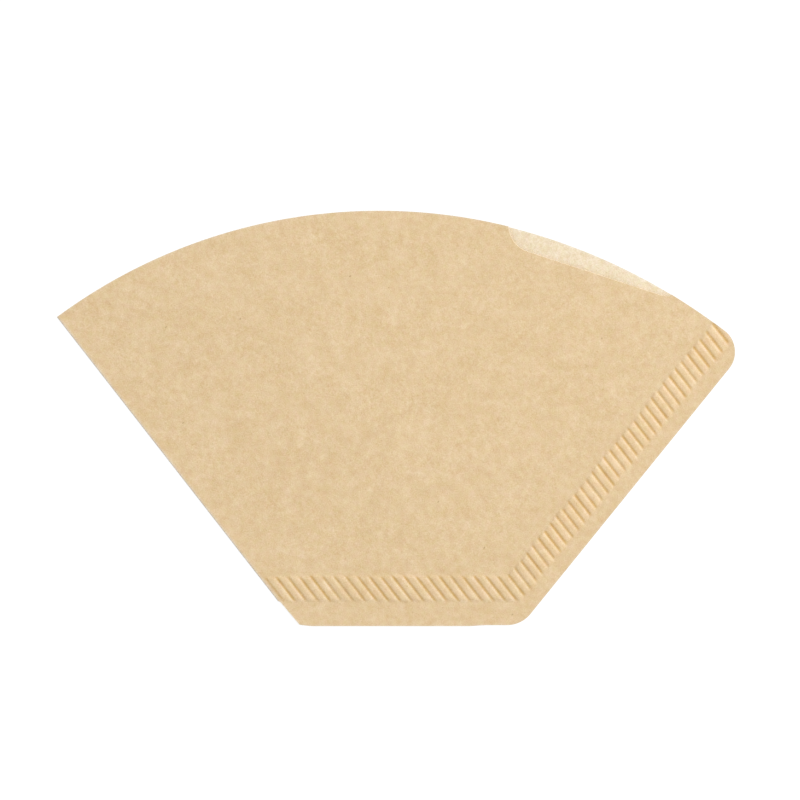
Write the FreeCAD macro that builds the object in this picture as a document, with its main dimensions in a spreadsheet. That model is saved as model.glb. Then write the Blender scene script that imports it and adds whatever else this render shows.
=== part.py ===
import FreeCAD, Part
import Sketcher
import math
import os

# Paper coffee filter, lying flat: one sheet folded along its left slanted edge, with its two plies
# crimped together along the bottom edge and the right slanted edge by a band of slanting ridges.
# The sketches start from the sharp bottom left corner, X along the bottom edge, Y towards the mouth,
# Z up from the surface that the sheet lies on. The finished sheet is then moved so that the centre
# of its footprint is the origin.

SIZES = [
    # outline of the folded sheet
    ("base_width", 54.4, "bottom edge, between its two sharp corners"),
    ("height", 101.1, "bottom edge to the highest point of the mouth"),
    ("fold_angle", 52.1, "left folded edge, degrees up from the bottom edge"),
    ("seam_angle", 51.0, "right crimped edge, degrees up from the bottom edge"),
    ("mouth_peak", 19.9, "highest point of the mouth, right of the sharp left corner"),
    ("mouth_radius", 132.65, "left and middle part of the mouth"),
    ("mouth_end_radius", 143.85, "right part of the mouth, a little flatter"),
    ("mouth_turn", 16.7, "degrees right of the peak where the flatter radius takes over"),
    ("corner_trim_height", 5.65, "trimmed bottom left corner, from the bottom edge up along the fold"),
    ("corner_trim_top", 0.32, "depth of the trim at its top, square to the fold"),
    ("corner_trim_angle", 25.0, "slant of the cut that leads into the trim, degrees off the fold"),
    ("corner_trim_foot", 0.6, "depth of the trim at its foot, square to the fold"),
    ("corner_ease_radius", 20.0, "shallow curve from the foot of the trim into the bottom edge"),
    ("base_step", 0.24, "how far the right part of the bottom edge is cut higher"),
    ("base_step_place", 44.0, "middle of that step, right of the sharp left corner"),
    ("base_step_run", 4.0, "length of that step"),
    ("base_corner_radius", 7.25, "bottom right corner"),
    ("mouth_corner_radius", 6.45, "top right corner"),
    # paper
    ("ply_thickness", 0.15, "one ply of filter paper"),
    ("ply_gap", 0.06, "air between the plies beside the seams"),
    ("mouth_lift", 1.5, "how far the front ply stands off the back one at the mouth"),
    ("fold_land", 0.5, "the plies part this far from the fold"),
    ("seam_lap", 0.5, "the plies part this far inside the crimped band"),
    # opening notch in the front ply
    ("notch_start", 51.9, "inner corner of the notch, right of the sharp left corner"),
    ("notch_depth", 4.7, "inner corner below the mouth"),
    ("notch_side_angle", 83.0, "steep side, degrees up from the bottom edge"),
    ("notch_slope", 18.0, "long side, degrees down to the right"),
    ("notch_length", 38.5, "long side, from the inner corner to the end curve"),
    ("notch_corner_radius", 6.8, "inner corner"),
    ("notch_end_radius", 4.0, "curve that runs out to the mouth"),
    ("notch_end_angle", 70.0, "where that curve ends, degrees round from straight down"),
    # crimped band
    ("base_margin", 5.75, "plain strip outside the band, along the bottom edge"),
    ("base_band", 6.6, "width of the band along the bottom edge"),
    ("seam_margin", 3.45, "plain strip outside the band, along the right edge"),
    ("seam_band", 6.95, "width of the band along the right edge"),
    ("ridge_angle", 38.0, "ridges, degrees from square to the bottom edge"),
    ("ridge_pitch", 2.2475, "ridge to ridge, square to the ridges"),
    ("ridge_height", 0.3, "crest above the flat paper"),
    ("ridge_crest", 0.8, "flat top of a ridge"),
    ("groove_floor", 0.15, "flat bottom of a groove"),
    ("groove_start", 0.79, "first groove from the sharp left corner, square to the ridges"),
    ("ridge_inner_ramp", 0.5, "length of the slope at the inner ends of the ridges"),
    ("ridge_outer_ramp", 0.8, "length of the slope at the outer ends of the ridges"),
]

# Small overlaps that let neighbouring solids merge cleanly.
ROOT = 0.05
BITE = 0.2
SINK = 0.03
SLIP = 0.01

# How far cutting shapes reach past the sheet, and past the mouth.
CLEAR = 1.0
ABOVE_MOUTH = 5.0

doc = FreeCAD.newDocument("paper_filter")
sheet = doc.addObject("Spreadsheet::Sheet", "Sizes")
for row, (alias, value, note) in enumerate(SIZES, 1):
    sheet.set(f"A{row}", note)
    sheet.set(f"B{row}", str(value))
    sheet.setAlias(f"B{row}", alias)
doc.recompute()


def size(alias):
    return float(sheet.get(alias))


def vec(x, y, z=0.0):
    return FreeCAD.Vector(x, y, z)


def polar(centre, radius, angle):
    return centre + vec(radius * math.cos(angle), radius * math.sin(angle))


UP = vec(0, 0, 1)
FLAT_STACK = "(2 * Sizes.ply_thickness + Sizes.ply_gap)"
flat_stack = 2 * size("ply_thickness") + size("ply_gap")

fold_angle = math.radians(size("fold_angle"))
seam_angle = math.radians(size("seam_angle"))
base_width = size("base_width")
height = size("height")

# Directions along the fold and the seam edge, and square to them into the sheet.
fold_way = vec(-math.cos(fold_angle), math.sin(fold_angle))
fold_in = vec(math.sin(fold_angle), math.cos(fold_angle))
seam_way = vec(math.cos(seam_angle), math.sin(seam_angle))
seam_in = vec(-math.sin(seam_angle), math.cos(seam_angle))
left_corner = vec(0, 0)
right_corner = vec(base_width, 0)

# Longer than any straight run of the outline, in every direction.
REACH = "(Sizes.base_width + 2.5 * Sizes.height)"
reach = base_width + 2.5 * height


class Profile:
    """A closed run of lines and arcs in a sketch, each end pinned to the next start."""

    def __init__(self, sketch):
        self.sketch = sketch
        self.first = None
        self.last = None

    def join(self, index, start, end, smooth):
        kind = "Tangent" if smooth else "Coincident"
        if self.last:
            self.sketch.addConstraint(Sketcher.Constraint(kind, self.last[0], self.last[1], index, start))
        else:
            self.first = (index, start)
        self.last = (index, end)
        return index

    def line(self, start, end, smooth=False):
        index = self.sketch.addGeometry(Part.LineSegment(start, end), False)
        return self.join(index, 1, 2, smooth)

    def arc(self, centre, start, end, smooth=False):
        radius = (start - centre).Length
        begin = math.atan2(start.y - centre.y, start.x - centre.x)
        finish = math.atan2(end.y - centre.y, end.x - centre.x)
        if finish < begin:
            finish += 2 * math.pi
        circle = Part.Circle(centre, UP, radius)
        index = self.sketch.addGeometry(Part.ArcOfCircle(circle, begin, finish), False)
        return self.join(index, 1, 2, smooth)

    def polygon(self, points):
        return [self.line(a, b) for a, b in zip(points, points[1:] + points[:1])]

    def close(self, smooth=False):
        kind = "Tangent" if smooth else "Coincident"
        self.sketch.addConstraint(
            Sketcher.Constraint(kind, self.last[0], self.last[1], self.first[0], self.first[1])
        )


def bind(sketch, name, formula, *parts):
    """Adds a dimension to the sketch and ties it to the sheet."""
    number = sketch.addConstraint(Sketcher.Constraint(*parts))
    sketch.renameConstraint(number, name)
    sketch.setExpression(f"Constraints.{name}", formula)


def extrude(name, sketch, length, both_ways=False):
    solid = doc.addObject("Part::Extrusion", name)
    solid.Base = sketch
    solid.DirMode = "Normal"
    solid.Solid = True
    solid.Symmetric = both_ways
    solid.setExpression("LengthFwd", length)
    return solid


def section_sketch(name, origin, inward):
    """A sketch that stands square to an edge: its X runs into the sheet and its Y runs up."""
    sketch = doc.addObject("Sketcher::SketchObject", name)
    turn = FreeCAD.Rotation(inward, UP, inward.cross(UP), "XYZ")
    sketch.Placement = FreeCAD.Placement(origin, turn)
    return sketch


# Outline of the flat sheet. Its left side lies outside the fold, because the fold is rounded by its
# own section; only the trimmed corner below the band is cut to its outline.
mouth_radius = size("mouth_radius")
end_radius = size("mouth_end_radius")
turn = math.radians(size("mouth_turn"))
mouth_centre = vec(size("mouth_peak"), height - mouth_radius)
turn_point = polar(mouth_centre, mouth_radius, math.pi / 2 - turn)
end_centre = polar(mouth_centre, mouth_radius - end_radius, math.pi / 2 - turn)

corner = size("base_corner_radius")
step = size("base_step")
stepped_corner = right_corner + seam_way * (step / seam_way.y)
corner_centre = stepped_corner + vec(-corner * math.tan(seam_angle / 2), corner)
corner_base = vec(corner_centre.x, step)
step_start = vec(size("base_step_place") - size("base_step_run") / 2, 0)
step_end = step_start + vec(size("base_step_run"), step)
corner_seam = corner_centre - seam_in * corner

# The top right corner curve touches the seam edge and the mouth from the inside.
tip = size("mouth_corner_radius")
tip_start = right_corner + seam_in * tip
across = end_centre - tip_start
along = across.dot(seam_way)
rise = math.sqrt((end_radius - tip) ** 2 - across.dot(seam_in) ** 2)
tip_centre = tip_start + seam_way * (along + rise)
tip_seam = tip_centre - seam_in * tip
tip_mouth = end_centre + (tip_centre - end_centre).normalize() * end_radius

trim_foot = fold_in * size("corner_trim_foot")
trim_depth = size("corner_trim_top")
trim_top = fold_way * (size("corner_trim_height") / fold_way.y) + fold_in * trim_depth
lead_in = fold_way / math.tan(math.radians(size("corner_trim_angle"))) - fold_in
ease = size("corner_ease_radius")
ease_base = vec(trim_foot.x + math.sqrt(2 * ease * trim_foot.y - trim_foot.y**2), 0)
ease_centre = ease_base + vec(0, ease)
outside = trim_top + lead_in * (trim_depth + CLEAR)
side_offset = (mouth_centre - outside).dot(fold_in)
side_run = (mouth_centre - outside).dot(fold_way) + math.sqrt(mouth_radius**2 - side_offset**2)
outside_mouth = outside + fold_way * side_run

outline = doc.addObject("Sketcher::SketchObject", "outline")
path = Profile(outline)
base_edge = path.line(ease_base, step_start)
path.line(step_start, step_end)
path.line(step_end, corner_base)
corner_arc = path.arc(corner_centre, corner_base, corner_seam, smooth=True)
seam_edge = path.line(corner_seam, tip_seam, smooth=True)
tip_arc = path.arc(tip_centre, tip_seam, tip_mouth, smooth=True)
end_arc = path.arc(end_centre, tip_mouth, turn_point, smooth=True)
mouth_arc = path.arc(mouth_centre, turn_point, outside_mouth, smooth=True)
path.line(outside_mouth, outside)
path.line(outside, trim_top)
path.line(trim_top, trim_foot)
ease_arc = path.arc(ease_centre, trim_foot, ease_base)
path.close(smooth=True)
outline.addConstraint(Sketcher.Constraint("PointOnObject", base_edge, 1, -1))
bind(outline, "base_corner", "Sizes.base_corner_radius", "Radius", corner_arc, corner)
bind(outline, "mouth_corner", "Sizes.mouth_corner_radius", "Radius", tip_arc, tip)
bind(outline, "mouth_end", "Sizes.mouth_end_radius", "Radius", end_arc, end_radius)
bind(outline, "mouth", "Sizes.mouth_radius", "Radius", mouth_arc, mouth_radius)
bind(outline, "corner_ease", "Sizes.corner_ease_radius", "Radius", ease_arc, ease)
bind(outline, "seam_slope", "Sizes.seam_angle", "Angle", seam_edge, seam_angle)
bind(outline, "peak", "Sizes.mouth_peak", "DistanceX", -1, 1, mouth_arc, 3, mouth_centre.x)
outline.setExpression("Placement.Base.z", f"-{CLEAR}")
tall = f"{FLAT_STACK} + Sizes.mouth_lift + Sizes.ridge_height + {3 * CLEAR}"
outline_block = extrude("outline_block", outline, tall)

# Flat sheet with the rounded fold: both plies together, as one plate.
fold_section = section_sketch("fold_section", left_corner, fold_in)
half = flat_stack / 2
path = Profile(fold_section)
path.line(vec(half, 0), vec(reach, 0))
path.line(vec(reach, 0), vec(reach, flat_stack))
path.line(vec(reach, flat_stack), vec(half, flat_stack))
fold_round = path.arc(vec(half, half), vec(half, flat_stack), vec(half, 0), smooth=True)
path.close(smooth=True)
bind(fold_section, "fold", f"{FLAT_STACK} / 2", "Radius", fold_round, half)
folded_plate = extrude("folded_plate", fold_section, f"2 * {REACH}", both_ways=True)


def crossing(fold_offset, base_offset, seam_offset):
    """Where a line beside the bottom edge meets lines beside the fold and beside the seam edge."""
    left = vec((fold_offset - base_offset * fold_in.y) / fold_in.x, base_offset)
    right = vec(base_width + (seam_offset - base_offset * seam_in.y) / seam_in.x, base_offset)
    return left, right


def panel_corners(bite):
    """Corners of the area where the plies are apart, grown by bite, up to above the mouth."""
    low = size("base_margin") + size("base_band") + size("seam_lap") - bite
    beside_fold = size("fold_land") - bite
    beside_seam = size("seam_margin") + size("seam_band") + size("seam_lap") - bite
    left, right = crossing(beside_fold, low, beside_seam)
    far_left, far_right = crossing(beside_fold, height + ABOVE_MOUTH, beside_seam)
    return left, right, far_right, far_left


# Space above the back ply, open at the mouth.
panel = doc.addObject("Sketcher::SketchObject", "panel")
path = Profile(panel)
path.polygon(list(panel_corners(0)))
path.close()
panel.setExpression("Placement.Base.z", "Sizes.ply_thickness")
panel_space = extrude("panel_space", panel, f"{FLAT_STACK} + {CLEAR}")

back_ply = doc.addObject("Part::Cut", "back_ply_and_seams")
back_ply.Base = folded_plate
back_ply.Tool = panel_space

# Front ply: a ruled sheet that starts level with the seams and stands off the back ply towards the
# mouth. Its straight rulings fan out from the bottom seam, as in a flattened cone.
CROSSWISE = [0, 1 / 12, 1 / 4, 1 / 2, 3 / 4, 11 / 12, 1]
SWELL = [0, 0.3, 0.82, 1.09, 0.82, 0.3, 0]


def front_ply_shape():
    left, right, far_right, far_left = panel_corners(BITE)
    low = flat_stack - SINK - size("ply_thickness")
    lift = size("mouth_lift") * (far_left.y - left.y) / (height - left.y)
    poles = []
    for share, swell in zip(CROSSWISE, SWELL):
        near = left + (right - left) * share
        far = far_left + (far_right - far_left) * share
        poles.append([near + UP * low, far + UP * (low + lift * swell)])
    surface = Part.BSplineSurface()
    surface.buildFromPolesMultsKnots(
        poles, [4, 1, 1, 1, 4], [2, 2], [0, 0.25, 0.5, 0.75, 1], [0, 1], False, False, 3, 1
    )
    return surface.toShape().extrude(UP * size("ply_thickness"))


front_ply = doc.addObject("Part::Feature", "front_ply")
front_ply.Shape = front_ply_shape()

# Crimp ridges: a plate with a row of slanting grooves, made square and then turned to its angle.
ridge_angle = math.radians(size("ridge_angle"))
ridge_height = size("ridge_height")
pitch = size("ridge_pitch")
first = size("groove_start")

comb = doc.addObject("PartDesign::Body", "crimp_comb")
origin = {feature.Role: feature for feature in comb.Origin.OriginFeatures}


def body_sketch(name):
    sketch = comb.newObject("Sketcher::SketchObject", name)
    sketch.AttachmentSupport = [(origin["XZ_Plane"], "")]
    sketch.MapMode = "FlatFace"
    return sketch


# Far corner of the sheet, measured across the ridges, sets how many grooves there are.
SPAN = (
    "((Sizes.base_width + Sizes.height / tan(Sizes.seam_angle * 1deg)) * cos(Sizes.ridge_angle * 1deg)"
    " + Sizes.height * sin(Sizes.ridge_angle * 1deg))"
)
span = (base_width + height / math.tan(seam_angle)) * math.cos(ridge_angle)
span += height * math.sin(ridge_angle)
COUNT = f"(ceil({SPAN} / Sizes.ridge_pitch) + 1)"
count = math.ceil(span / pitch) + 1

plate_section = body_sketch("plate_section")
plate_end = first + count * pitch
path = Profile(plate_section)
plate_start = first - 1.5 * pitch
plate_lines = path.polygon(
    [
        vec(plate_start, -ROOT),
        vec(plate_end, -ROOT),
        vec(plate_end, ridge_height),
        vec(plate_start, ridge_height),
    ]
)
path.close()
for line in (plate_lines[0], plate_lines[2]):
    plate_section.addConstraint(Sketcher.Constraint("Horizontal", line))
for line in (plate_lines[1], plate_lines[3]):
    plate_section.addConstraint(Sketcher.Constraint("Vertical", line))
bind(plate_section, "crest", "Sizes.ridge_height", "DistanceY", -1, 1, plate_lines[2], 1, ridge_height)
plate = comb.newObject("PartDesign::Pad", "plate")
plate.Profile = plate_section
plate.SideType = "Symmetric"
plate.setExpression("Length", f"2 * {REACH}")

groove_section = body_sketch("groove_section")
groove_half = (pitch - size("ridge_crest")) / 2
floor_half = size("groove_floor") / 2
steepness = (groove_half - floor_half) / (ridge_height + SLIP)
over = groove_half + steepness * ROOT
path = Profile(groove_section)
groove_lines = path.polygon(
    [
        vec(first - floor_half, -SLIP),
        vec(first + floor_half, -SLIP),
        vec(first + over, ridge_height + ROOT),
        vec(first - over, ridge_height + ROOT),
    ]
)
path.close()
groove_section.addConstraint(Sketcher.Constraint("Horizontal", groove_lines[0]))
groove_section.addConstraint(Sketcher.Constraint("Horizontal", groove_lines[2]))
bind(groove_section, "floor", "Sizes.groove_floor", "DistanceX", groove_lines[0], 1, groove_lines[0], 2,
     2 * floor_half)
groove = comb.newObject("PartDesign::Pocket", "groove")
groove.Profile = groove_section
groove.SideType = "Symmetric"
groove.setExpression("Length", f"2 * {REACH} + 2 * {CLEAR}")
doc.recompute()

grooves = comb.newObject("PartDesign::LinearPattern", "grooves")
grooves.Originals = [groove]
grooves.Direction = (origin["X_Axis"], [""])
grooves.Mode = "Extent"
grooves.setExpression("Length", f"({COUNT} - 1) * Sizes.ridge_pitch")
grooves.setExpression("Occurrences", COUNT)
comb.Tip = grooves
comb.Placement = FreeCAD.Placement(vec(0, 0), FreeCAD.Rotation(UP, size("ridge_angle")))
comb.setExpression("Placement.Rotation.Angle", "Sizes.ridge_angle")


def sloped_plate(name, start, inward, offset, ramp, thick):
    """A plate that begins at an offset from an edge and whose edge leans by ramp over the ridge height."""
    lean = ramp / ridge_height
    sketch = section_sketch(f"{name}_section", start, inward)
    profile = Profile(sketch)
    profile.polygon(
        [
            vec(offset - lean * thick, -thick),
            vec(reach, -thick),
            vec(reach, ridge_height + thick),
            vec(offset + lean * (ridge_height + thick), ridge_height + thick),
        ]
    )
    profile.close()
    return extrude(name, sketch, f"2 * {REACH}", both_ways=True)


# The band lies inside these three slopes ...
outer_ramp = size("ridge_outer_ramp")
band_field = doc.addObject("Part::MultiCommon", "band_field")
band_field.Shapes = [
    comb,
    sloped_plate("base_side", left_corner, vec(0, 1), size("base_margin"), outer_ramp, 2 * ROOT),
    sloped_plate("seam_side", right_corner, seam_in, size("seam_margin"), outer_ramp, 2 * ROOT),
    sloped_plate("fold_side", left_corner, fold_in, size("fold_land"), outer_ramp, 2 * ROOT),
]

# ... and outside these two, which lean the other way.
inner_ramp = size("ridge_inner_ramp")
inner_base = size("base_margin") + size("base_band")
inner_seam = size("seam_margin") + size("seam_band")
inner_field = doc.addObject("Part::MultiCommon", "inner_field")
inner_field.Shapes = [
    sloped_plate("inner_base_side", left_corner, vec(0, 1), inner_base, -inner_ramp, 4 * ROOT),
    sloped_plate("inner_seam_side", right_corner, seam_in, inner_seam, -inner_ramp, 4 * ROOT),
]

ridges = doc.addObject("Part::Cut", "ridges")
ridges.Base = band_field
ridges.Tool = inner_field

# The pressed plies rise on top as ridges and are hollow below them, so the paper stays one thickness.
raised_ridges = doc.addObject("Part::Compound", "raised_ridges")
raised_ridges.Links = [ridges]
raised_ridges.setExpression("Placement.Base.z", FLAT_STACK)

# Opening notch, cut through the front ply only.
notch_start = size("notch_start")
notch_slope = math.radians(size("notch_slope"))
side_angle = math.radians(size("notch_side_angle"))
mouth_above = mouth_centre.y + math.sqrt(mouth_radius**2 - (notch_start - mouth_centre.x) ** 2)
inner_corner = vec(notch_start, mouth_above - size("notch_depth"))
side_way = vec(-math.cos(side_angle), math.sin(side_angle))
floor_way = vec(math.cos(notch_slope), -math.sin(notch_slope))
floor_up = vec(math.sin(notch_slope), math.cos(notch_slope))

notch_radius = size("notch_corner_radius")
opening = side_way.getAngle(floor_way)
setback = notch_radius / math.tan(opening / 2)
notch_centre = inner_corner + floor_way * setback + floor_up * notch_radius
side_foot = inner_corner + side_way * setback
floor_start = inner_corner + floor_way * setback
floor_end = inner_corner + floor_way * size("notch_length")
run_out = size("notch_end_radius")
run_out_centre = floor_end + floor_up * run_out
run_out_turn = math.radians(size("notch_end_angle"))
run_out_end = polar(run_out_centre, run_out, run_out_turn - math.pi / 2)
notch_top = height + ABOVE_MOUTH
side_top = side_foot + side_way * ((notch_top - side_foot.y) / side_way.y)
far_top = vec(run_out_end.x + (notch_top - run_out_end.y) / math.tan(run_out_turn), notch_top)

notch = doc.addObject("Sketcher::SketchObject", "notch")
path = Profile(notch)
path.line(side_top, side_foot)
notch_arc = path.arc(notch_centre, side_foot, floor_start, smooth=True)
path.line(floor_start, floor_end, smooth=True)
run_out_arc = path.arc(run_out_centre, floor_end, run_out_end, smooth=True)
path.line(run_out_end, far_top)
path.line(far_top, side_top)
path.close()
bind(notch, "inner_corner", "Sizes.notch_corner_radius", "Radius", notch_arc, notch_radius)
bind(notch, "run_out", "Sizes.notch_end_radius", "Radius", run_out_arc, run_out)
notch.setExpression("Placement.Base.z", "Sizes.ply_thickness + Sizes.ply_gap / 4")
notch_block = extrude("notch_block", notch, tall)

pressed = doc.addObject("Part::MultiFuse", "pressed_sheet")
pressed.Shapes = [back_ply, front_ply, raised_ridges]
hollows = doc.addObject("Part::Compound", "hollows")
hollows.Links = [ridges, notch_block]
cut_sheet = doc.addObject("Part::Cut", "cut_sheet")
cut_sheet.Base = pressed
cut_sheet.Tool = hollows
filter_sheet = doc.addObject("Part::MultiCommon", "filter_sheet")
filter_sheet.Label = "filter_sheet"
filter_sheet.Shapes = [cut_sheet, outline_block]
doc.recompute()

# Origin in the middle of the footprint, on the surface that the sheet lies on.
box = filter_sheet.Shape.optimalBoundingBox(False, False)
filter_sheet.Placement = FreeCAD.Placement(vec(-box.Center.x, -box.Center.y), FreeCAD.Rotation())
doc.recompute()

for item in doc.Objects:
    if "Invalid" in item.State or "Error" in item.State:
        raise RuntimeError(f"{item.Label} failed: {item.State}")

parts = [filter_sheet]
for part in parts:
    shape = part.Shape
    if shape.isNull() or not shape.isValid():
        raise RuntimeError(f"{part.Label} has no valid shape")
    if len(shape.Solids) != 1:
        raise RuntimeError(f"{part.Label} is {len(shape.Solids)} solids")

os.makedirs("parts", exist_ok=True)
for part in parts:
    part.Shape.exportStep(os.path.join("parts", part.Label + ".step"))
    bounds = part.Shape.optimalBoundingBox(False, False)
    print(part.Label, "volume", round(part.Shape.Volume, 2), "area", round(part.Shape.Area, 1))
    print("x", round(bounds.XMin, 3), round(bounds.XMax, 3), "y", round(bounds.YMin, 3),
          round(bounds.YMax, 3), "z", round(bounds.ZMin, 3), round(bounds.ZMax, 3))
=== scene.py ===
import math

import bpy
import numpy as np
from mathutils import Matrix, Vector
from mathutils.geometry import delaunay_2d_cdt


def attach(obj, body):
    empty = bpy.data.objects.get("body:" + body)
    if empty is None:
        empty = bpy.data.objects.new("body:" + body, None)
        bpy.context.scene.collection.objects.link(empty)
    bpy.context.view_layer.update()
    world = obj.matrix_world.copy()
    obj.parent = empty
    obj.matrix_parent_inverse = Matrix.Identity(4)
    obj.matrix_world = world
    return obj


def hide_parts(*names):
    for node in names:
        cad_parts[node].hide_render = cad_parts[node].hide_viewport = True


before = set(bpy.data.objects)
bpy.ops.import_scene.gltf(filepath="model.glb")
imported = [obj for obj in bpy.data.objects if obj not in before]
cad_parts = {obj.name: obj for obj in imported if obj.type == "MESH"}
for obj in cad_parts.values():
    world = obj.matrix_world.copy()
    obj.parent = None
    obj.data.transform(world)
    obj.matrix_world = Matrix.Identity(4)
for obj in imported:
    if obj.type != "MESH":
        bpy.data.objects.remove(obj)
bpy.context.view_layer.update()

MM = 0.001

# Sizes, in millimetres, as in the CAD.
BASE_WIDTH = 54.4
HEIGHT = 101.1
FOLD_ANGLE = math.radians(52.1)
SEAM_ANGLE = math.radians(51.0)
MOUTH_PEAK = 19.9
MOUTH_RADIUS = 132.65
MOUTH_END_RADIUS = 143.85
MOUTH_TURN = math.radians(16.7)
TRIM_HEIGHT = 5.65
TRIM_TOP = 0.32
TRIM_ANGLE = math.radians(25.0)
TRIM_FOOT = 0.6
TRIM_EASE = 20.0
BASE_STEP = 0.24
BASE_STEP_PLACE = 44.0
BASE_STEP_RUN = 4.0
BASE_CORNER = 7.25
MOUTH_CORNER = 6.45
PLY = 0.15
SEAM_GAP = 0.01
FOLD_GAP = 0.06
LIFT = 1.5
NOTCH_START = 51.9
NOTCH_DEPTH = 4.7
NOTCH_SIDE_ANGLE = math.radians(83.0)
NOTCH_FLOOR_ANGLE = math.radians(18.0)
NOTCH_LENGTH = 38.5
NOTCH_CORNER = 6.8
NOTCH_END = 4.0
NOTCH_BEVEL = 0.12
# The crimp band lies between these distances from each edge, and the open panel beyond these.
BAND = {"base": (5.75, 12.35), "seam": (3.45, 10.4)}
PANEL = {"low": 12.85, "fold": 0.5, "seam": 10.9}
RIDGE_ANGLE = math.radians(38.0)
PITCH = 2.2475
FIRST_GROOVE = 0.79
# The sharp left corner of the outline, in the frame of the part.
CORNER = np.array([-24.004, -50.550])

# Form of a ridge: its height, and how much that differs from ridge to ridge, as a share.
RIDGE = 0.29
RIDGE_UNEVEN = 0.10
# Widths of a ridge's two flanks, and how far its groove lies beyond the straight one, in pitches.
STEEP_FLANK = 0.28
LONG_FLANK = 0.34
GROOVE_SHIFT = 0.035
# Ridges wander sideways by this much, over this distance.
RIDGE_WANDER = 0.05
RIDGE_WANDER_SIZE = 6.0
# The last ridges by the top right corner lie a little wider apart.
END_START = 114.0
END_STRETCH = 0.0050
# How far each ridge's ends may lie off the borders of the band.
OUTER_END_WANDER = 0.20
INNER_END_WANDER = 0.25
# Each border of the band: how far over it the relief starts, and the length in which it rises.
OUTER_RUN_IN = (0.15, 1.3)
INNER_RUN_IN = (0.1, 0.8)
FOLD_RUN_IN = (-0.3, 1.1)

# Form of the front ply: how its lift rounds off sideways, and its faint cockles (height, seed, size).
SWELL_POWER = 1.15
COCKLES = ((0.05, 1, 9.0), (0.03, 2, 4.0))
COCKLE_FADE = 12.0
FOLD_EASE = 1.5

# Spacing of points, along outlines and in the notch.
STEP = 0.5
NOTCH_STEP = 0.3
NOTCH_FLOOR_STEP = 0.35
# Rows of points beside the outlines and beside the notch, on the front and on the back ply.
EDGE = 0.55
FRONT_NOTCH_ROW = 0.3
BACK_NOTCH_ROW = 0.5
# Points to a pitch across the ridges, spacing along the ridges, and spacing elsewhere.
FRONT_GRID = (14, 0.55, 1.3)
BACK_GRID = (8, 0.9, 1.5)
TRIANGLE_ROW = 0.866
# The fine points go this far over the band's outer and inner border, and the coarse ones stop here.
FINE_MARGINS = (0.7, 0.8)
COARSE_MARGINS = (1.1, 1.2)
CLEAR_OF_ROWS = 0.28
CLEAR_OF_OUTLINE = 0.2
BEND_STEPS = 8

# Marks on the surface, in millimetres; the stripes are a place and a half width in pitches.
OVER_MOUTH = 3
BARE_FADE = 0.5
ON_EDGE = 0.02
GROOVE_SHADE_STRIPE = (0.085, 0.24)
HIGHLIGHT_STRIPE = (0.84, 0.15)
FOLD_HIGHLIGHT = 0.5
FOLD_LIGHT_REACH = 0.9
LIGHT_BAND_START = 54
LIGHT_BAND_RUN = 8

FOLD_IN = np.array([math.sin(FOLD_ANGLE), math.cos(FOLD_ANGLE)])
FOLD_WAY = np.array([-math.cos(FOLD_ANGLE), math.sin(FOLD_ANGLE)])
SEAM_IN = np.array([-math.sin(SEAM_ANGLE), math.cos(SEAM_ANGLE)])
SEAM_WAY = np.array([math.cos(SEAM_ANGLE), math.sin(SEAM_ANGLE)])
RIGHT = np.array([BASE_WIDTH, 0.0])
ACROSS = np.array([math.cos(RIDGE_ANGLE), math.sin(RIDGE_ANGLE)])
ALONG = np.array([math.sin(RIDGE_ANGLE), -math.cos(RIDGE_ANGLE)])
# The plies end this far inside the fold; the bend itself goes on from there.
BEND = PLY + FOLD_GAP / 2


# Outline of the folded sheet.
def arc(centre, radius, start, end, step):
    """Points on an arc, both ends included; a turn goes the short way."""
    a = math.atan2(start[1] - centre[1], start[0] - centre[0])
    b = math.atan2(end[1] - centre[1], end[0] - centre[0])
    turn = (b - a + math.pi) % (2 * math.pi) - math.pi
    count = max(4, int(abs(turn) * radius / step))
    angles = a + turn * np.linspace(0, 1, count + 1)
    return np.stack([centre[0] + radius * np.cos(angles), centre[1] + radius * np.sin(angles)], 1)


def straight(start, end, step):
    """Points on a line, both ends included."""
    count = max(2, int(np.linalg.norm(end - start) / step))
    return start + (end - start) * np.linspace(0, 1, count + 1)[:, None]


def chain(*runs):
    """Runs that follow on from each other, with each shared point kept once."""
    return np.concatenate([run[:-1] for run in runs[:-1]] + [runs[-1]])


mouth_centre = np.array([MOUTH_PEAK, HEIGHT - MOUTH_RADIUS])
lean = np.array([math.sin(MOUTH_TURN), math.cos(MOUTH_TURN)])
turn_point = mouth_centre + lean * MOUTH_RADIUS
end_centre = mouth_centre - lean * (MOUTH_END_RADIUS - MOUTH_RADIUS)

corner_centre = RIGHT + SEAM_WAY * (BASE_STEP / SEAM_WAY[1])
corner_centre = corner_centre + np.array([-BASE_CORNER * math.tan(SEAM_ANGLE / 2), BASE_CORNER])
tip_start = RIGHT + SEAM_IN * MOUTH_CORNER
offset = end_centre - tip_start
rise = math.sqrt((MOUTH_END_RADIUS - MOUTH_CORNER) ** 2 - float(offset @ SEAM_IN) ** 2)
tip_centre = tip_start + SEAM_WAY * (float(offset @ SEAM_WAY) + rise)
tip_out = (tip_centre - end_centre) / np.linalg.norm(tip_centre - end_centre)


def along_fold(point_offset):
    """Where the line beside the fold meets the mouth."""
    start = FOLD_IN * point_offset
    toward = mouth_centre - start
    run = float(toward @ FOLD_WAY) + math.sqrt(MOUTH_RADIUS**2 - float(toward @ FOLD_IN) ** 2)
    return start + FOLD_WAY * run


fold_top = along_fold(BEND)
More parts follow.
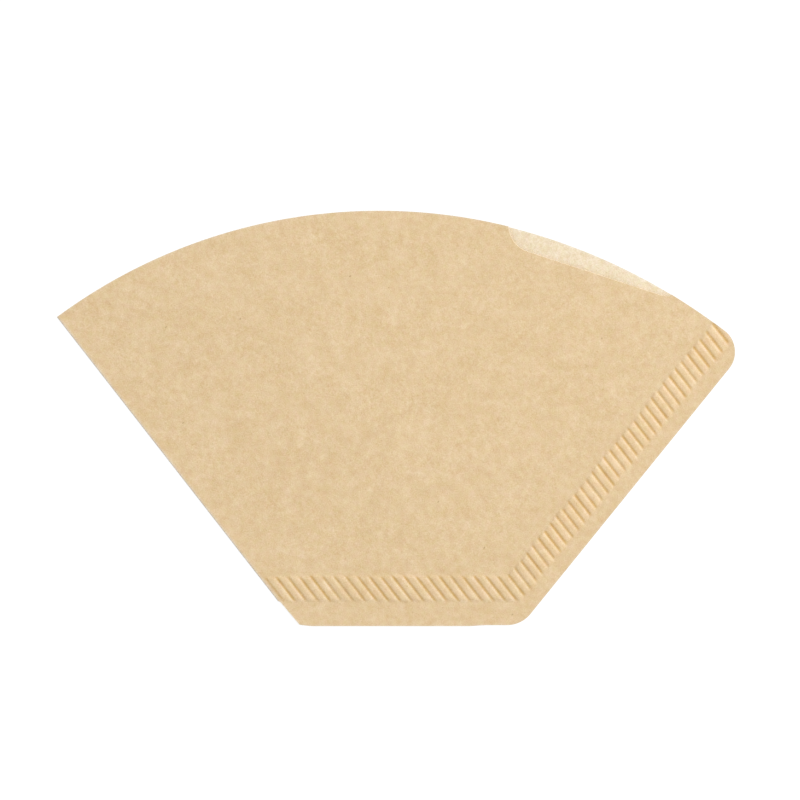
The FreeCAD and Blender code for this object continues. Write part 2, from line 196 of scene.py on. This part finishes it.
# Below the band the fold is trimmed away, down to a shallow curve into the bottom edge.
trim_top = FOLD_WAY * (TRIM_HEIGHT / FOLD_WAY[1]) + FOLD_IN * TRIM_TOP
fold_foot = trim_top + (FOLD_WAY / math.tan(TRIM_ANGLE) - FOLD_IN) * (TRIM_TOP - BEND)
trim_foot = FOLD_IN * TRIM_FOOT
ease_run = math.sqrt(2 * TRIM_EASE * trim_foot[1] - trim_foot[1] ** 2)
ease_base = np.array([trim_foot[0] + ease_run, 0.0])
ease_centre = ease_base + np.array([0.0, TRIM_EASE])
step_start = np.array([BASE_STEP_PLACE - BASE_STEP_RUN / 2, 0.0])
step_end = step_start + np.array([BASE_STEP_RUN, BASE_STEP])
corner_base = np.array([corner_centre[0], BASE_STEP])
corner_seam = corner_centre - SEAM_IN * BASE_CORNER
tip_seam = tip_centre - SEAM_IN * MOUTH_CORNER
mouth_end = end_centre + tip_out * MOUTH_END_RADIUS

base_run = chain(straight(ease_base, step_start, STEP), straight(step_start, step_end, STEP),
                 straight(step_end, corner_base, STEP))
corner_run = arc(corner_centre, BASE_CORNER, corner_base, corner_seam, STEP)
seam_run = straight(corner_seam, tip_seam, STEP)
tip_run = arc(tip_centre, MOUTH_CORNER, tip_seam, tip_centre + tip_out * MOUTH_CORNER, STEP)
end_run = arc(end_centre, MOUTH_END_RADIUS, mouth_end, turn_point, STEP)
mouth_run = arc(mouth_centre, MOUTH_RADIUS, turn_point, fold_top, STEP)
fold_run = straight(fold_top, fold_foot, STEP)
foot_run = chain(np.array([fold_foot, trim_top]), straight(trim_top, trim_foot, STEP),
                 arc(ease_centre, TRIM_EASE, trim_foot, ease_base, STEP))
right_side = (base_run, corner_run, seam_run, tip_run)
left_side = (fold_run, foot_run)

back_outline = chain(*right_side, end_run, mouth_run, *left_side)[:-1]

# Opening notch in the front ply.
above = mouth_centre[1] + math.sqrt(MOUTH_RADIUS**2 - (NOTCH_START - mouth_centre[0]) ** 2)
inner = np.array([NOTCH_START, above - NOTCH_DEPTH])
side_way = np.array([-math.cos(NOTCH_SIDE_ANGLE), math.sin(NOTCH_SIDE_ANGLE)])
floor_way = np.array([math.cos(NOTCH_FLOOR_ANGLE), -math.sin(NOTCH_FLOOR_ANGLE)])
floor_up = np.array([math.sin(NOTCH_FLOOR_ANGLE), math.cos(NOTCH_FLOOR_ANGLE)])
opening = math.acos(float(side_way @ floor_way))
setback = NOTCH_CORNER / math.tan(opening / 2)
notch_centre = inner + floor_way * setback + floor_up * NOTCH_CORNER
side_foot = inner + side_way * setback
floor_start = inner + floor_way * setback
floor_end = inner + floor_way * NOTCH_LENGTH
run_out_centre = floor_end + floor_up * NOTCH_END


def circle_line(centre, radius, start, way):
    """First meeting of a ray that starts inside a circle with that circle."""
    toward = centre - start
    forward = float(toward @ way)
    return start + way * (forward + math.sqrt(radius**2 - float(toward @ toward) + forward**2))


side_top = circle_line(mouth_centre, MOUTH_RADIUS, side_foot, side_way)
# Where the arc at the notch's far end meets the mouth: the crossing of two circles.
gap = run_out_centre - end_centre
reach = np.linalg.norm(gap)
share = (MOUTH_END_RADIUS**2 - NOTCH_END**2 + reach**2) / (2 * reach)
half_chord = math.sqrt(MOUTH_END_RADIUS**2 - share**2)
gap = gap / reach
run_out_end = end_centre + gap * share + np.array([gap[1], -gap[0]]) * half_chord

notch_run = chain(
    arc(run_out_centre, NOTCH_END, run_out_end, floor_end, NOTCH_STEP),
    straight(floor_end, floor_start, NOTCH_FLOOR_STEP),
    arc(notch_centre, NOTCH_CORNER, floor_start, side_foot, NOTCH_STEP),
    straight(side_foot, side_top, NOTCH_STEP),
)
right_of_notch = arc(end_centre, MOUTH_END_RADIUS, mouth_end, run_out_end, STEP)
left_of_notch = arc(mouth_centre, MOUTH_RADIUS, side_top, fold_top, STEP)
front_outline = chain(*right_side, right_of_notch, notch_run, left_of_notch, *left_side)[:-1]


# Form of the plies.
def smooth(x):
    """0 up to 0 and 1 from 1 on, with a soft rise between."""
    x = np.clip(x, 0.0, 1.0)
    return x * x * (3 - 2 * x)


def wobble(x, y, seed, size):
    """Gentle undulation between -1 and 1, the same every time."""
    a = np.sin(x / size + 1.7 * seed) * np.cos(0.8 * y / size - 0.9 * seed)
    b = np.sin(0.53 * (x + 1.3 * y) / size + 2.9 * seed)
    c = np.cos(0.71 * (y - 0.6 * x) / size + 0.4 * seed)
    return (a + b + c) / 3


def chance(number, seed):
    """A fixed value between -1 and 1 for each whole number."""
    value = np.sin(number * 12.9898 + seed * 78.233) * 43758.5453
    return 2 * (value - np.floor(value)) - 1


def edge_distances(points):
    """Distances from the bottom edge, the slanted seam edge and the fold."""
    base = points[:, 1]
    seam = (points - RIGHT) @ SEAM_IN
    fold = points @ FOLD_IN
    return base, seam, fold


def band_depths(points):
    """How far points lie inside the outer border of the crimp band, and inside the inner one."""
    base, seam, _ = edge_distances(points)
    outer_depth = np.minimum(base - BAND["base"][0], seam - BAND["seam"][0])
    inner_depth = np.maximum(BAND["base"][1] - base, BAND["seam"][1] - seam)
    return outer_depth, inner_depth


def ridge_place(points):
    """Where points lie across the ridges, in pitches from the first groove, with slight unevenness."""
    across = points @ ACROSS - FIRST_GROOVE
    across = across - END_STRETCH * np.maximum(across - END_START, 0) ** 2
    wander = RIDGE_WANDER * wobble(points[:, 0], points[:, 1], 3, RIDGE_WANDER_SIZE)
    return (across + wander) / PITCH - GROOVE_SHIFT


def run_in(depth, lead, length):
    """Rise over a length, from a start that lies the lead outside a border."""
    return smooth((depth + lead) / length)


def band_share(points, number):
    """1 inside the crimped band and 0 outside it; every ridge has its own ends."""
    outer_depth, inner_depth = band_depths(points)
    outer_depth = outer_depth - OUTER_END_WANDER * chance(number, 1)
    inner_depth = inner_depth + INNER_END_WANDER * chance(number, 2)
    across_band = run_in(outer_depth, *OUTER_RUN_IN) * run_in(inner_depth, *INNER_RUN_IN)
    return across_band * run_in(edge_distances(points)[2], *FOLD_RUN_IN)


def ridge_rise(points):
    """Height of the crimp: ridges with a short steep flank on the fold side and a longer one beyond."""
    place = ridge_place(points)
    number = np.floor(place)
    place = place - number
    crest = smooth(place / STEEP_FLANK) * (1 - smooth((place - 1 + LONG_FLANK) / LONG_FLANK))
    return RIDGE * (1 + RIDGE_UNEVEN * chance(number, 4)) * band_share(points, number) * crest


def panel_share(points):
    """How far across the open panel a point lies, 0 at the fold to 1 at the seam, and how far up."""
    y = points[:, 1]
    left = (PANEL["fold"] - y * FOLD_IN[1]) / FOLD_IN[0]
    right = BASE_WIDTH + (PANEL["seam"] - y * SEAM_IN[1]) / SEAM_IN[0]
    across = np.clip((points[:, 0] - left) / (right - left), 0, 1)
    up = np.clip((y - PANEL["low"]) / (HEIGHT - PANEL["low"]), 0, None)
    return across, up


def front_height(points):
    """Middle of the front ply."""
    base, seam, fold = edge_distances(points)
    across, up = panel_share(points)
    swell = np.sin(math.pi * across) ** SWELL_POWER
    inside = smooth((np.minimum(base - PANEL["low"], seam - PANEL["seam"])) / COCKLE_FADE)
    cockle = sum(height * wobble(points[:, 0], points[:, 1], seed, size) for height, seed, size in COCKLES)
    open_gap = LIFT * up * swell + cockle * inside * np.sin(math.pi * across)
    seam_level = PLY / 2 + PLY + SEAM_GAP
    fold_level = PLY / 2 + PLY + FOLD_GAP
    level = seam_level + (fold_level - seam_level) * (1 - smooth((fold - BEND) / FOLD_EASE))
    return level + np.maximum(open_gap, 0) + ridge_rise(points)


def back_height(points):
    """Middle of the back ply, flat on the table but for the hollow ridges."""
    return PLY / 2 + ridge_rise(points)


# Meshes of the plies.
def inside_polygon(points, polygon):
    """True for points inside the polygon."""
    x, y = points[:, 0], points[:, 1]
    hit = np.zeros(len(points), bool)
    for (ax, ay), (bx, by) in zip(polygon, np.roll(polygon, -1, axis=0)):
        crosses = (ay > y) != (by > y)
        if by != ay:
            hit ^= crosses & (x < (bx - ax) * (y - ay) / (by - ay) + ax)
    return hit


def near_polygon(points, polygon, distance):
    """True for points closer than distance to any corner of the polygon's fine outline."""
    close = np.zeros(len(points), bool)
    block_size = 4000
    for start in range(0, len(points), block_size):
        block = points[start:start + block_size]
        gaps = np.min(np.sum((block[:, None, :] - polygon[None, :, :]) ** 2, axis=2), axis=1)
        close[start:start + block_size] = gaps < distance**2
    return close


def beside(run, distance):
    """The run moved sideways, to the left of its own direction."""
    way = np.gradient(run, axis=0)
    way = way / np.linalg.norm(way, axis=1)[:, None]
    return run + distance * np.column_stack([-way[:, 1], way[:, 0]])


def fill_points(outline, fine_across, fine_along, coarse, rows):
    """A fine grid laid along the ridges in and beside the band, a coarse one elsewhere, and the rows."""
    low = outline.min(axis=0) - 2
    high = outline.max(axis=0) + 2
    corners = np.array([[low[0], low[1]], [high[0], low[1]], [high[0], high[1]], [low[0], high[1]]])
    s = corners @ ACROSS
    t = corners @ ALONG
    first = FIRST_GROOVE + PITCH * math.floor((s.min() - FIRST_GROOVE) / PITCH)
    s_values = np.arange(first, s.max(), PITCH / fine_across)
    t_values = np.arange(t.min(), t.max(), fine_along)
    grid_s, grid_t = np.meshgrid(s_values, t_values)
    grid_t = grid_t + 0.5 * fine_along * (np.arange(len(s_values)) % 2)[None, :]
    fine = grid_s.reshape(-1, 1) * ACROSS + grid_t.reshape(-1, 1) * ALONG
    outer_depth, inner_depth = band_depths(fine)
    fine = fine[(outer_depth > -FINE_MARGINS[0]) & (inner_depth > -FINE_MARGINS[1])]
    x_values = np.arange(low[0], high[0], coarse)
    y_values = np.arange(low[1], high[1], coarse * TRIANGLE_ROW)
    grid_x, grid_y = np.meshgrid(x_values, y_values)
    grid_x = grid_x + 0.5 * coarse * (np.arange(len(y_values)) % 2)[:, None]
    wide = np.stack([grid_x.ravel(), grid_y.ravel()], 1)
    outer_depth, inner_depth = band_depths(wide)
    wide = wide[(outer_depth < -COARSE_MARGINS[0]) | (inner_depth < -COARSE_MARGINS[1])]
    points = np.concatenate([fine, wide])
    points = points[~near_polygon(points, np.concatenate([outline, rows]), CLEAR_OF_ROWS)]
    rows = rows[~near_polygon(rows, outline, CLEAR_OF_OUTLINE)]
    points = np.concatenate([rows, points])
    return points[inside_polygon(points, outline)]


def ply_mesh(outline, grid, rows):
    """Flat triangle mesh of a ply: its points and faces."""
    points = np.concatenate([outline, fill_points(outline, *grid, rows)])
    count = len(outline)
    edges = [(i, (i + 1) % count) for i in range(count)]
    coords, _, faces, _, _, _ = delaunay_2d_cdt([Vector(p) for p in points], edges, [], 1, 1e-6)
    flat = np.array([[c[0], c[1]] for c in coords])
    return flat, np.array([list(f) for f in faces], int)


def facing(flat, faces, up):
    """The faces, each turned to face up or down."""
    a, b, c = flat[faces[:, 0]], flat[faces[:, 1]], flat[faces[:, 2]]
    sign = (b[:, 0] - a[:, 0]) * (c[:, 1] - a[:, 1]) - (b[:, 1] - a[:, 1]) * (c[:, 0] - a[:, 0])
    turned = faces.copy()
    wrong = (sign < 0) if up else (sign > 0)
    turned[wrong] = turned[wrong][:, ::-1]
    return turned


border = np.concatenate([beside(run, EDGE) for run in (*right_side, *left_side)])
front_rows = np.concatenate([border, beside(notch_run, FRONT_NOTCH_ROW), beside(right_of_notch, EDGE),
                             beside(left_of_notch, EDGE)])
back_rows = np.concatenate([border, notch_run, beside(notch_run, BACK_NOTCH_ROW),
                            beside(notch_run, -BACK_NOTCH_ROW), beside(end_run, EDGE),
                            beside(mouth_run, EDGE)])
front_flat, front_faces = ply_mesh(front_outline, FRONT_GRID, front_rows)
back_flat, back_faces = ply_mesh(back_outline, BACK_GRID, back_rows)
front_faces = facing(front_flat, front_faces, True)
back_faces = facing(back_flat, back_faces, False)


def match(flat, points):
    """Index in flat of each of the points."""
    return np.array([int(np.argmin(np.sum((flat - p) ** 2, axis=1))) for p in points])


front = np.column_stack([front_flat, front_height(front_flat)])
back = np.column_stack([back_flat, back_height(back_flat)])
front_row = match(front_flat, fold_run)
back_row = match(back_flat, fold_run) + len(front)

# The bend: from the front ply's left row round to the back ply's.
bend_rows = [front_row]
bend = []
total = len(front) + len(back)
front_edge = front[front_row]
back_edge = back[back_row - len(front)]
middle = (front_edge + back_edge) / 2
radius = (front_edge[:, 2] - back_edge[:, 2]) / 2
for step in range(1, BEND_STEPS):
    angle = math.pi * step / BEND_STEPS
    ring = middle.copy()
    ring[:, :2] -= FOLD_IN * (radius * math.sin(angle))[:, None]
    ring[:, 2] += radius * math.cos(angle)
    # The trim cuts the foot of the fold off at a slant.
    ring[-1, :2] += FOLD_WAY * radius[-1] * math.sin(angle) / math.tan(TRIM_ANGLE)
    bend.append(ring)
    bend_rows.append(np.arange(len(ring)) + total)
    total += len(ring)
bend_rows.append(back_row)
bend_faces = []
for upper, lower in zip(bend_rows, bend_rows[1:]):
    for i in range(len(upper) - 1):
        bend_faces.append([upper[i], lower[i + 1], upper[i + 1]])
        bend_faces.append([upper[i], lower[i], lower[i + 1]])

sheet_points = np.concatenate([front, back] + bend)
sheet_faces = np.concatenate([front_faces, back_faces + len(front), np.array(bend_faces)])
sheet_plan = sheet_points[:, :2]
on_front = np.arange(total) < len(front)
on_back = ~on_front & (np.arange(total) < len(front) + len(back))


def distance_to_run(points, run):
    """Distance from each point to the nearest place on the run."""
    best = np.full(len(points), 1e9)
    for a, b in zip(run, run[1:]):
        way = b - a
        length = float(way @ way)
        along = np.clip(((points - a) @ way) / length, 0, 1)
        best = np.minimum(best, np.linalg.norm(points - (a + along[:, None] * way), axis=1))
    return best


# The back ply is bare inside the notch; there it gets painted light, paler than the two plies together,
# for the light that shines through the single ply.
notch_area = np.concatenate([notch_run,
                             arc(mouth_centre, MOUTH_RADIUS + OVER_MOUTH, side_top, turn_point, 1.0),
                             arc(end_centre, MOUTH_END_RADIUS + OVER_MOUTH, turn_point, run_out_end, 1.0)])
in_notch = inside_polygon(sheet_plan, notch_area)
to_notch = distance_to_run(sheet_plan, notch_run)
notch_depth = np.where(in_notch, to_notch, -to_notch)
bare_ply_light = np.where(on_back, smooth((notch_depth + BARE_FADE) / BARE_FADE), 0.0)

# The cut edge of the notch, and the two sides of each groove of the crimp: painted shade on the flank that
# faces away from the lamp and a painted highlight on the flank that faces it.
cut_edge = np.where(on_front & (to_notch < ON_EDGE), 1.0, 0.0)
sheet_place = ridge_place(sheet_plan)
ridge_number = np.floor(sheet_place)
band = band_share(sheet_plan, ridge_number)


def stripe(stripe_middle, half_width):
    """1 along a line that follows every ridge, fading to 0 at half_width; both in pitches."""
    away = np.abs((sheet_place - stripe_middle + 0.5) % 1 - 0.5)
    return (1 - smooth(away / half_width)) * band


uneven = 1 + 0.4 * wobble(sheet_plan[:, 0], sheet_plan[:, 1], 5, 1.3) + 0.25 * chance(ridge_number, 6)
groove = np.clip(stripe(*GROOVE_SHADE_STRIPE) * uneven, 0, 1)
# Painted highlight on the lit far flank of each ridge, where the lamp falls.
painted_highlight = np.clip(stripe(*HIGHLIGHT_STRIPE) * uneven, 0, 1)
# The fold gets painted light, against the shade on its bend, and a fine line along the cut edges is paler.
fold_depth = sheet_plan @ FOLD_IN
border_depth = distance_to_run(sheet_plan, np.concatenate([back_outline, back_outline[:1]]))
painted_highlight = np.maximum(painted_highlight, 1 - smooth(fold_depth / FOLD_HIGHLIGHT))
fold_light = 1.2 * (1 - smooth(fold_depth / FOLD_LIGHT_REACH))
pale_border = 0.8 * (1 - smooth(border_depth / EDGE))
lit_fold_pale_edge = np.clip(fold_light + pale_border, 0, 1)
# The band along the slanted side is a little lighter than the one along the bottom edge.
light_band = band * smooth((sheet_plan[:, 0] - LIGHT_BAND_START) / LIGHT_BAND_RUN)


def normals_of(points, faces):
    """Unit normals at the points, each the mean of the faces around it by area."""
    a, b, c = points[faces[:, 0]], points[faces[:, 1]], points[faces[:, 2]]
    face_normals = np.cross(b - a, c - a)
    result = np.zeros_like(points)
    for column in range(3):
        np.add.at(result, faces[:, column], face_normals)
    return result / np.linalg.norm(result, axis=1)[:, None]


# Both skins of the paper, and the open edges between them.
normals = normals_of(sheet_points, sheet_faces)
outer_shell = sheet_points + normals * PLY / 2
inner_shell = sheet_points - normals * PLY / 2
point_count = len(sheet_points)
directed = np.concatenate([sheet_faces[:, [0, 1]], sheet_faces[:, [1, 2]], sheet_faces[:, [2, 0]]])
sorted_edges = np.sort(directed, axis=1)
keys = sorted_edges[:, 0].astype(np.int64) * point_count + sorted_edges[:, 1]
_, first_seen, counts = np.unique(keys, return_index=True, return_counts=True)
rim = directed[first_seen[counts == 1]]
rim_start = 2 * point_count + 2 * np.arange(len(rim))
across_rim = 2 * len(rim)
rim_faces = np.column_stack([rim_start + 1, rim_start, rim_start + across_rim, rim_start + 1 + across_rim])

# The knife leaves the notch's edge a little slanted, so its lower rim shows from above.
lower_rim = np.flatnonzero(cut_edge)
rim_gaps = np.sum((sheet_plan[lower_rim][:, None] - notch_run[None]) ** 2, axis=2)
nearest = np.argmin(rim_gaps, axis=1)
inner_shell[lower_rim, :2] += (beside(notch_run, -NOTCH_BEVEL) - notch_run)[nearest]

# The rim has points of its own, so its edges stay sharp.
outer_rim = outer_shell[rim].reshape(-1, 3)
inner_rim = inner_shell[rim].reshape(-1, 3)
all_points = np.concatenate([outer_shell, inner_shell, outer_rim, inner_rim])
# Nothing dips below the surface that the sheet lies on.
all_points[:, 2] = np.maximum(all_points[:, 2], 0.0)
all_points[:, :2] += CORNER
all_faces = (
    sheet_faces.tolist()
    + (sheet_faces[:, ::-1] + point_count).tolist()
    + rim_faces.tolist()
)
first_rim_face = 2 * len(sheet_faces)
mesh = bpy.data.meshes.new("filter_paper")
mesh.from_pydata((all_points * MM).tolist(), [], all_faces)
mesh.update()
mesh.polygons.foreach_set("use_smooth", (np.arange(len(all_faces)) < first_rim_face).tolist())
marks = {"bare_ply_light": bare_ply_light, "groove": groove, "painted_highlight": painted_highlight, "lit_fold_pale_edge": lit_fold_pale_edge, "light_band": light_band}
for name, values in marks.items():
    attribute = mesh.attributes.new(name, "FLOAT", "POINT")
    values = np.concatenate([values, values, values[rim].ravel(), values[rim].ravel()])
    attribute.data.foreach_set("value", values.astype(np.float32))
notch_rim = np.zeros(len(all_faces), np.float32)
notch_rim[first_rim_face:] = cut_edge[rim[:, 0]] * cut_edge[rim[:, 1]]
rim_mark = mesh.attributes.new("cut_edge", "FLOAT", "FACE")
rim_mark.data.foreach_set("value", notch_rim)

paper = bpy.data.objects.new("filter_paper", mesh)
bpy.context.scene.collection.objects.link(paper)

# Paper.
material = bpy.data.materials.new("unbleached_paper")
material.use_nodes = True
nodes = material.node_tree.nodes
links = material.node_tree.links
nodes.clear()


def node(kind, **settings):
    """A new node of a kind, with its settings."""
    made = nodes.new(kind)
    for name, value in settings.items():
        setattr(made, name, value)
    return made


def math_node(operation, a, b, clamp=False):
    """The result of an operation on two values, each a number or a socket."""
    made = node("ShaderNodeMath", operation=operation, use_clamp=clamp)
    for socket, value in zip(made.inputs, (a, b)):
        if isinstance(value, (int, float)):
            socket.default_value = value
        else:
            links.new(value, socket)
    return made.outputs[0]


coordinates = node("ShaderNodeTexCoord")
millimetres = node("ShaderNodeVectorMath", operation="SCALE")
links.new(coordinates.outputs["Object"], millimetres.inputs[0])
millimetres.inputs["Scale"].default_value = 1 / MM
plain = millimetres.outputs[0]


def stretched(angle, ratio):
    """Coordinates in which a pattern comes out longer by ratio, along a line turned by angle from Y."""
    mapping = node("ShaderNodeMapping", vector_type="TEXTURE")
    mapping.inputs["Rotation"].default_value = (0, 0, angle)
    mapping.inputs["Scale"].default_value = (1, ratio, 1)
    links.new(plain, mapping.inputs["Vector"])
    return mapping.outputs[0]


def noise(vector, scale, detail=1.0, roughness=0.5):
    """Soft noise around 0."""
    made = node("ShaderNodeTexNoise", noise_dimensions="3D")
    made.inputs["Scale"].default_value = scale
    made.inputs["Detail"].default_value = detail
    made.inputs["Roughness"].default_value = roughness
    links.new(vector, made.inputs["Vector"])
    return math_node("SUBTRACT", made.outputs["Fac"], 0.5)


def cells(vector, scale):
    """Scattered points: a node that gives the distance to the nearest one and its own colour."""
    made = node("ShaderNodeTexVoronoi", voronoi_dimensions="3D", feature="F1")
    made.inputs["Scale"].default_value = scale
    links.new(vector, made.inputs["Vector"])
    return made


def weighted(patterns):
    """The sum of patterns, each times its weight."""
    (first, first_weight), *others = patterns
    total_value = math_node("MULTIPLY", first, first_weight)
    for pattern, weight in others:
        total_value = math_node("ADD", total_value, math_node("MULTIPLY", pattern, weight))
    return total_value


def point_value(name):
    """A mark on the surface, as a value from 0 to 1."""
    return node("ShaderNodeAttribute", attribute_type="GEOMETRY", attribute_name=name).outputs["Fac"]


def tinted(colour, kind, share, tint):
    """The colour, mixed towards a tint or multiplied by it."""
    made = node("ShaderNodeMix", data_type="RGBA", blend_type=kind)
    links.new(share, made.inputs[0])
    links.new(colour, made.inputs[6])
    made.inputs[7].default_value = (*tint, 1)
    return made.outputs[2]


grain = noise(plain, 3.4)
fibres = noise(stretched(math.radians(45), 1.35), 1.0, 2.0, 0.55)
blotch = noise(plain, 0.42)
cloud = noise(plain, 0.2, 2.0)
patch = noise(plain, 0.05)
mottle = weighted(((grain, 0.42), (fibres, 0.25), (blotch, 0.18), (cloud, 0.13), (patch, 0.05)))

ramp = node("ShaderNodeValToRGB")
ramp.color_ramp.elements[0].position = 0.30
ramp.color_ramp.elements[0].color = (0.658, 0.465, 0.235, 1)
ramp.color_ramp.elements[1].position = 0.70
ramp.color_ramp.elements[1].color = (0.881, 0.687, 0.463, 1)
middle_stop = ramp.color_ramp.elements.new(0.5)
middle_stop.color = (0.762, 0.570, 0.336, 1)
links.new(math_node("ADD", mottle, 0.5, clamp=True), ramp.inputs["Fac"])

# Hue drifts a little between pinkish and yellowish patches, and so does saturation.
hue_drift = math_node("MULTIPLY", noise(plain, 0.8), 0.028)
saturation_drift = math_node("MULTIPLY", noise(plain, 0.55), 0.13)
hue = node("ShaderNodeHueSaturation")
links.new(math_node("ADD", hue_drift, 0.5), hue.inputs["Hue"])
links.new(math_node("ADD", saturation_drift, 1.0), hue.inputs["Saturation"])
links.new(ramp.outputs["Color"], hue.inputs["Color"])
colour = hue.outputs["Color"]

# The single bare ply is paler with painted light, for light shining through it. Painted shade makes the
# grooves deeper in colour, and painted highlights and painted light make the lit far flanks and the fold
# paler; the edges are a little paler too.
TINTS = (
    ("bare_ply_light", (1.145, 1.293, 1.57)),
    ("groove", (0.96, 0.84, 0.57)),
    ("painted_highlight", (1.03, 1.08, 1.21)),
    ("lit_fold_pale_edge", (1.0, 1.06, 1.20)),
    ("light_band", (1.045, 1.035, 1.035)),
)
for name, tint in TINTS:
    colour = tinted(colour, "MULTIPLY", point_value(name), tint)
# A cut edge shows the lighter inside of the paper, with a painted highlight on it as well.
colour = tinted(colour, "MIX", math_node("MULTIPLY", point_value("cut_edge"), 0.6), (0.93, 0.80, 0.61))

# Fine darker flecks in some of the cells, and a few dark fibre specks.
flecks = cells(plain, 0.8)
rare = node("ShaderNodeSeparateColor")
links.new(flecks.outputs["Color"], rare.inputs[0])
fleck = math_node("MULTIPLY", math_node("LESS_THAN", flecks.outputs["Distance"], 0.16),
                  math_node("LESS_THAN", rare.outputs[0], 0.3))
colour = tinted(colour, "MIX", math_node("MULTIPLY", fleck, 0.16), (0.42, 0.26, 0.11))
specks = cells(stretched(math.radians(-35), 1.8), 0.16)
speck = math_node("LESS_THAN", specks.outputs["Distance"], 0.026)
colour = tinted(colour, "MIX", math_node("MULTIPLY", speck, 0.45), (0.30, 0.17, 0.07))

shader = node("ShaderNodeBsdfPrincipled")
links.new(colour, shader.inputs["Base Color"])
shader.inputs["Specular IOR Level"].default_value = 0.25
links.new(math_node("ADD", math_node("MULTIPLY", grain, 0.12), 0.88), shader.inputs["Roughness"])

bump = node("ShaderNodeBump")
bump.inputs["Strength"].default_value = 0.5
bump.inputs["Distance"].default_value = 0.06 * MM
relief = weighted(((grain, 0.6), (fibres, 1.0), (noise(plain, 4.0), 0.2)))
links.new(relief, bump.inputs["Height"])
links.new(bump.outputs["Normal"], shader.inputs["Normal"])

output = node("ShaderNodeOutputMaterial")
links.new(shader.outputs[0], output.inputs["Surface"])
mesh.materials.append(material)

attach(paper, "root")
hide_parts("filter_sheet")

# Floor, in metres: pale to the camera, and with the sheet's shadow on it.
FLOOR_REACH = 3.0
FLOOR_Z = -0.00002
FLOOR_GREY = 0.30
FLOOR_GLOW = 0.80
floor_corners = [(-FLOOR_REACH, -FLOOR_REACH, FLOOR_Z), (FLOOR_REACH, -FLOOR_REACH, FLOOR_Z),
                 (FLOOR_REACH, FLOOR_REACH, FLOOR_Z), (-FLOOR_REACH, FLOOR_REACH, FLOOR_Z)]
floor_mesh = bpy.data.meshes.new("floor")
floor_mesh.from_pydata(floor_corners, [], [(0, 1, 2, 3)])
floor = bpy.data.objects.new("floor", floor_mesh)
bpy.context.scene.collection.objects.link(floor)
floor_material = bpy.data.materials.new("floor")
floor_material.use_nodes = True
tree = floor_material.node_tree
tree.nodes.clear()
diffuse = tree.nodes.new("ShaderNodeBsdfDiffuse")
diffuse.inputs["Color"].default_value = (FLOOR_GREY, FLOOR_GREY, FLOOR_GREY, 1)
glow = tree.nodes.new("ShaderNodeEmission")
glow.inputs["Color"].default_value = (1, 1, 1, 1)
light_path = tree.nodes.new("ShaderNodeLightPath")
strength = tree.nodes.new("ShaderNodeMath")
strength.operation = "MULTIPLY"
strength.inputs[1].default_value = FLOOR_GLOW
tree.links.new(light_path.outputs["Is Camera Ray"], strength.inputs[0])
tree.links.new(strength.outputs[0], glow.inputs["Strength"])
both = tree.nodes.new("ShaderNodeAddShader")
tree.links.new(diffuse.outputs[0], both.inputs[0])
tree.links.new(glow.outputs[0], both.inputs[1])
floor_output = tree.nodes.new("ShaderNodeOutputMaterial")
tree.links.new(both.outputs[0], floor_output.inputs["Surface"])
floor_mesh.materials.append(floor_material)

# Light: an even surround that looks white to the camera, and one soft lamp high on the right.
SURROUND_LEVEL = 0.52
SURROUND_SEEN = 1.0
world = bpy.data.worlds.new("studio")
bpy.context.scene.world = world
world.use_nodes = True
world_tree = world.node_tree
world_tree.nodes.clear()
surround = world_tree.nodes.new("ShaderNodeBackground")
surround.inputs["Color"].default_value = (1, 1, 1, 1)
world_path = world_tree.nodes.new("ShaderNodeLightPath")
level = world_tree.nodes.new("ShaderNodeMix")
level.data_type = "FLOAT"
level.inputs[2].default_value = SURROUND_LEVEL
level.inputs[3].default_value = SURROUND_SEEN
world_tree.links.new(world_path.outputs["Is Camera Ray"], level.inputs[0])
world_tree.links.new(level.outputs[0], surround.inputs["Strength"])
world_output = world_tree.nodes.new("ShaderNodeOutputWorld")
world_tree.links.new(surround.outputs[0], world_output.inputs["Surface"])

KEY_TILT = math.radians(43)
KEY_TURN = math.radians(32)
KEY_DISTANCE = 2.5
KEY_SIZE = 0.7
KEY_POWER = 42.0
key_place = (KEY_DISTANCE * math.sin(KEY_TILT) * math.cos(KEY_TURN),
             KEY_DISTANCE * math.sin(KEY_TILT) * math.sin(KEY_TURN),
             KEY_DISTANCE * math.cos(KEY_TILT))
key_data = bpy.data.lights.new("key", "AREA")
key_data.shape = "DISK"
key_data.size = KEY_SIZE
key_data.energy = KEY_POWER
key = bpy.data.objects.new("key", key_data)
key.location = key_place
key.rotation_euler = (-Vector(key_place)).to_track_quat("-Z", "Y").to_euler()
bpy.context.scene.collection.objects.link(key)

# Camera, straight above, so high that it sees this width of the sheet's upper side.
LENS = 85
SENSOR = 36
VIEW_WIDTH = 0.1950
VIEW_CENTRE = (0.00098, 0.00456)
VIEW_LEVEL = 0.0003
camera_data = bpy.data.cameras.new("camera")
camera_data.lens = LENS
camera_data.sensor_width = SENSOR
camera_data.clip_start = 0.01
camera = bpy.data.objects.new("camera", camera_data)
camera.location = (*VIEW_CENTRE, VIEW_LEVEL + VIEW_WIDTH * LENS / SENSOR)
camera.rotation_euler = (0, 0, 0)
bpy.context.scene.collection.objects.link(camera)
bpy.context.scene.camera = camera

bpy.context.scene.view_settings.view_transform = "Standard"
